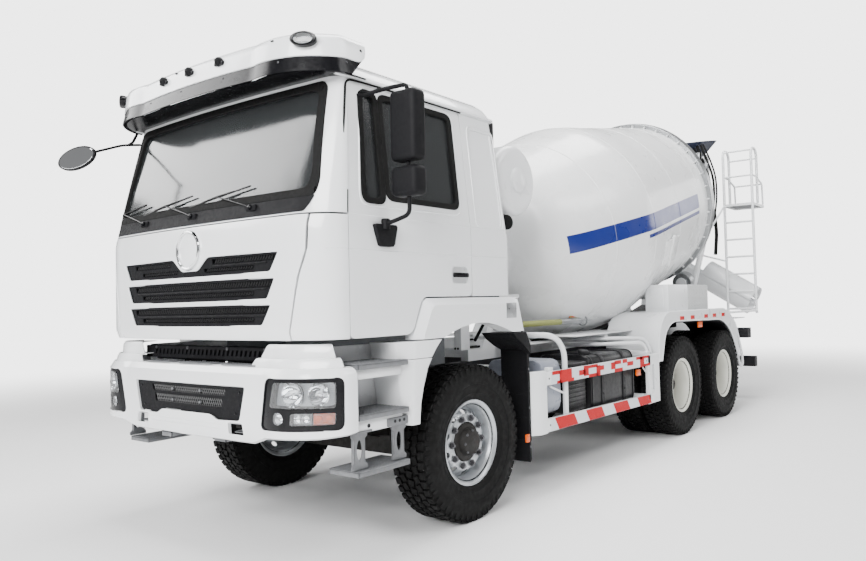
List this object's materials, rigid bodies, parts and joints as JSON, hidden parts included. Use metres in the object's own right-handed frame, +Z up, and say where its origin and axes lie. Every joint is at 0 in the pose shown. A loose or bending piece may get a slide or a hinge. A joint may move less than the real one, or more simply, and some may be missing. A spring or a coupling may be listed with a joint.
{
  "type": "concrete mixer truck",
  "caption": "Three-axle cab-over truck with a tilted rotating concrete drum, loading hopper, swivelling folding chute, side guards and rear ladder.",
  "frame": {"origin": "on the floor, under the middle of the truck's length and width", "axes": "+X forwards, +Y to the truck's left, +Z up"},
  "size_m": [9.4148, 3, 4.0458],
  "materials": {
    "frame_black": "satin black paint",
    "axle_black": "matt black paint",
    "body_white": "gloss white paint",
    "cab_white": "gloss white enamel",
    "drum_white": "satin white enamel",
    "ring_steel": "turned steel",
    "roller_steel": "ground steel",
    "plastic_black": "grained black plastic",
    "grille_black": "black mesh",
    "lamp_lens": "clear lamp cover",
    "engine_grey": "painted casting",
    "tank_black": "satin black",
    "gearbox_grey": "grey paint",
    "hopper_blue": "dark blue paint",
    "chute_grey": "light grey paint",
    "window_glass": "tinted safety glass",
    "interior_grey": "moulded plastic",
    "seat_fabric": "woven seat cloth",
    "tyre_black": "rubber",
    "rim_silver": "silver paint",
    "rim_white": "white paint"
  },
  "bodies": {
    "chassis": {"chassis_frame": "frame_black", "drum_frame": "body_white", "front_bumper": "cab_white", "front_shelf": "plastic_black", "headlamps": "lamp_lens", "entry_steps": "cab_white", "front_mudguards": "plastic_black", "engine": "engine_grey", "front_axle": "axle_black", "rear_axles": "axle_black", "fuel_tank": "tank_black", "air_tanks": "tank_black", "side_guards": "body_white", "rear_fenders": "body_white", "rear_underrun": "frame_black", "drum_gearbox": "gearbox_grey", "loading_hopper": "hopper_blue", "discharge_spout": "body_white", "rear_ladder": "body_white", "water_tank": "body_white"},
    "drum": {"drum_head": "drum_white", "drum_shell": "drum_white", "drum_ring": "ring_steel"},
    "roller_left": {"left_roller": "roller_steel"},
    "roller_right": {"right_roller": "roller_steel"},
    "turntable": {"chute_turntable": "chute_grey"},
    "chute": {"main_chute": "chute_grey"},
    "extension": {"chute_extension": "chute_grey"},
    "cab": {"cab_shell": "cab_white", "cab_glass": "window_glass", "corner_panels": "cab_white", "sun_visor": "cab_white", "dashboard": "interior_grey", "seats": "seat_fabric", "wipers": "plastic_black", "front_mirror": "plastic_black", "arch_flares": "cab_white"},
    "lid": {"front_lid": "cab_white", "grille_inserts": "grille_black"},
    "door_left": {"left_door": "cab_white", "left_door_glass": "window_glass", "left_mirror": "plastic_black"},
    "door_right": {"right_door": "cab_white", "right_door_glass": "window_glass", "right_mirror": "plastic_black"},
    "knuckle_left": {"left_knuckle": "axle_black"},
    "knuckle_right": {"right_knuckle": "axle_black"},
    "tie_rod": {"tie_rod": "axle_black"},
    "wheel_front_left": {"front_left_tyre": "tyre_black", "front_left_rim": "rim_silver"},
    "wheel_front_right": {"front_right_tyre": "tyre_black", "front_right_rim": "rim_silver"},
    "wheel_middle_left": {"middle_left_tyres": "tyre_black", "middle_left_rims": "rim_white"},
    "wheel_middle_right": {"middle_right_tyres": "tyre_black", "middle_right_rims": "rim_white"},
    "wheel_rear_left": {"rear_left_tyres": "tyre_black", "rear_left_rims": "rim_white"},
    "wheel_rear_right": {"rear_right_tyres": "tyre_black", "rear_right_rims": "rim_white"}
  },
  "joints": [
    {"name": "steer_left", "type": "hinge", "parent": "chassis", "child": "knuckle_left", "pos_m": [2.9875, 0.83, 0.545], "axis": [0, 0, 1], "range_deg": [-38, 38]},
    {"name": "steer_right", "type": "hinge", "parent": "chassis", "child": "knuckle_right", "pos_m": [2.9875, -0.83, 0.545], "axis": [0, 0, 1], "range_deg": [-38, 38]},
    {"name": "tie_rod_pivot", "type": "hinge", "parent": "knuckle_left", "child": "tie_rod", "pos_m": [2.7275, 0.83, 0.413], "axis": [0, 0, 1], "range_deg": [-38, 38]},
    {"name": "front_left_roll", "type": "hinge", "parent": "knuckle_left", "child": "wheel_front_left", "pos_m": [2.9875, 1.018, 0.545], "axis": [0, 1, 0], "continuous": true},
    {"name": "front_right_roll", "type": "hinge", "parent": "knuckle_right", "child": "wheel_front_right", "pos_m": [2.9875, -1.018, 0.545], "axis": [0, 1, 0], "continuous": true},
    {"name": "middle_left_roll", "type": "hinge", "parent": "chassis", "child": "wheel_middle_left", "pos_m": [-0.7875, 0.921, 0.545], "axis": [0, 1, 0], "continuous": true},
    {"name": "middle_right_roll", "type": "hinge", "parent": "chassis", "child": "wheel_middle_right", "pos_m": [-0.7875, -0.921, 0.545], "axis": [0, 1, 0], "continuous": true},
    {"name": "rear_left_roll", "type": "hinge", "parent": "chassis", "child": "wheel_rear_left", "pos_m": [-2.1875, 0.921, 0.545], "axis": [0, 1, 0], "continuous": true},
    {"name": "rear_right_roll", "type": "hinge", "parent": "chassis", "child": "wheel_rear_right", "pos_m": [-2.1875, -0.921, 0.545], "axis": [0, 1, 0], "continuous": true},
    {"name": "drum_spin", "type": "hinge", "parent": "chassis", "child": "drum", "pos_m": [1.2122, 0, 1.97241], "axis": [-0.9726, 0, 0.2327], "continuous": true},
    {"name": "roller_left_spin", "type": "hinge", "parent": "chassis", "child": "roller_left", "pos_m": [-2.54586, 0.58698, 1.73642], "axis": [-0.9726, 0, 0.2327], "continuous": true},
    {"name": "roller_right_spin", "type": "hinge", "parent": "chassis", "child": "roller_right", "pos_m": [-2.54586, -0.58698, 1.73642], "axis": [-0.9726, 0, 0.2327], "continuous": true},
    {"name": "chute_swivel", "type": "hinge", "parent": "chassis", "child": "turntable", "pos_m": [-4.2325, 0, 1.55], "axis": [0, 0, 1], "range_deg": [0, 180]},
    {"name": "chute_tilt", "type": "hinge", "parent": "turntable", "child": "chute", "pos_m": [-4.2325, 0.12, 1.64], "axis": [1, 0, 0], "range_deg": [-12, 12]},
    {"name": "chute_fold", "type": "hinge", "parent": "chute", "child": "extension", "pos_m": [-4.2325, 1.03946, 1.43749], "axis": [-1, 0, 0], "range_deg": [0, 180]},
    {"name": "cab_tilt", "type": "hinge", "parent": "chassis", "child": "cab", "pos_m": [4.2875, 0, 1.05], "axis": [0, 1, 0], "range_deg": [0, 50]},
    {"name": "lid_swing", "type": "hinge", "parent": "cab", "child": "lid", "pos_m": [4.4125, 0, 2.062], "axis": [0, -1, 0], "range_deg": [0, 50]},
    {"name": "door_left_swing", "type": "hinge", "parent": "cab", "child": "door_left", "pos_m": [4.1595, 1.195, 1.8], "axis": [0, 0, -1], "range_deg": [0, 70]},
    {"name": "door_right_swing", "type": "hinge", "parent": "cab", "child": "door_right", "pos_m": [4.1595, -1.195, 1.8], "axis": [0, 0, 1], "range_deg": [0, 70]}
  ],
  "couplings": [
    {"joint": "steer_right", "follows": "steer_left", "ratio": 1},
    {"joint": "tie_rod_pivot", "follows": "steer_left", "ratio": -1},
    {"joint": "roller_left_spin", "follows": "drum_spin", "ratio": -8.6154},
    {"joint": "roller_right_spin", "follows": "drum_spin", "ratio": -8.6154}
  ]
}
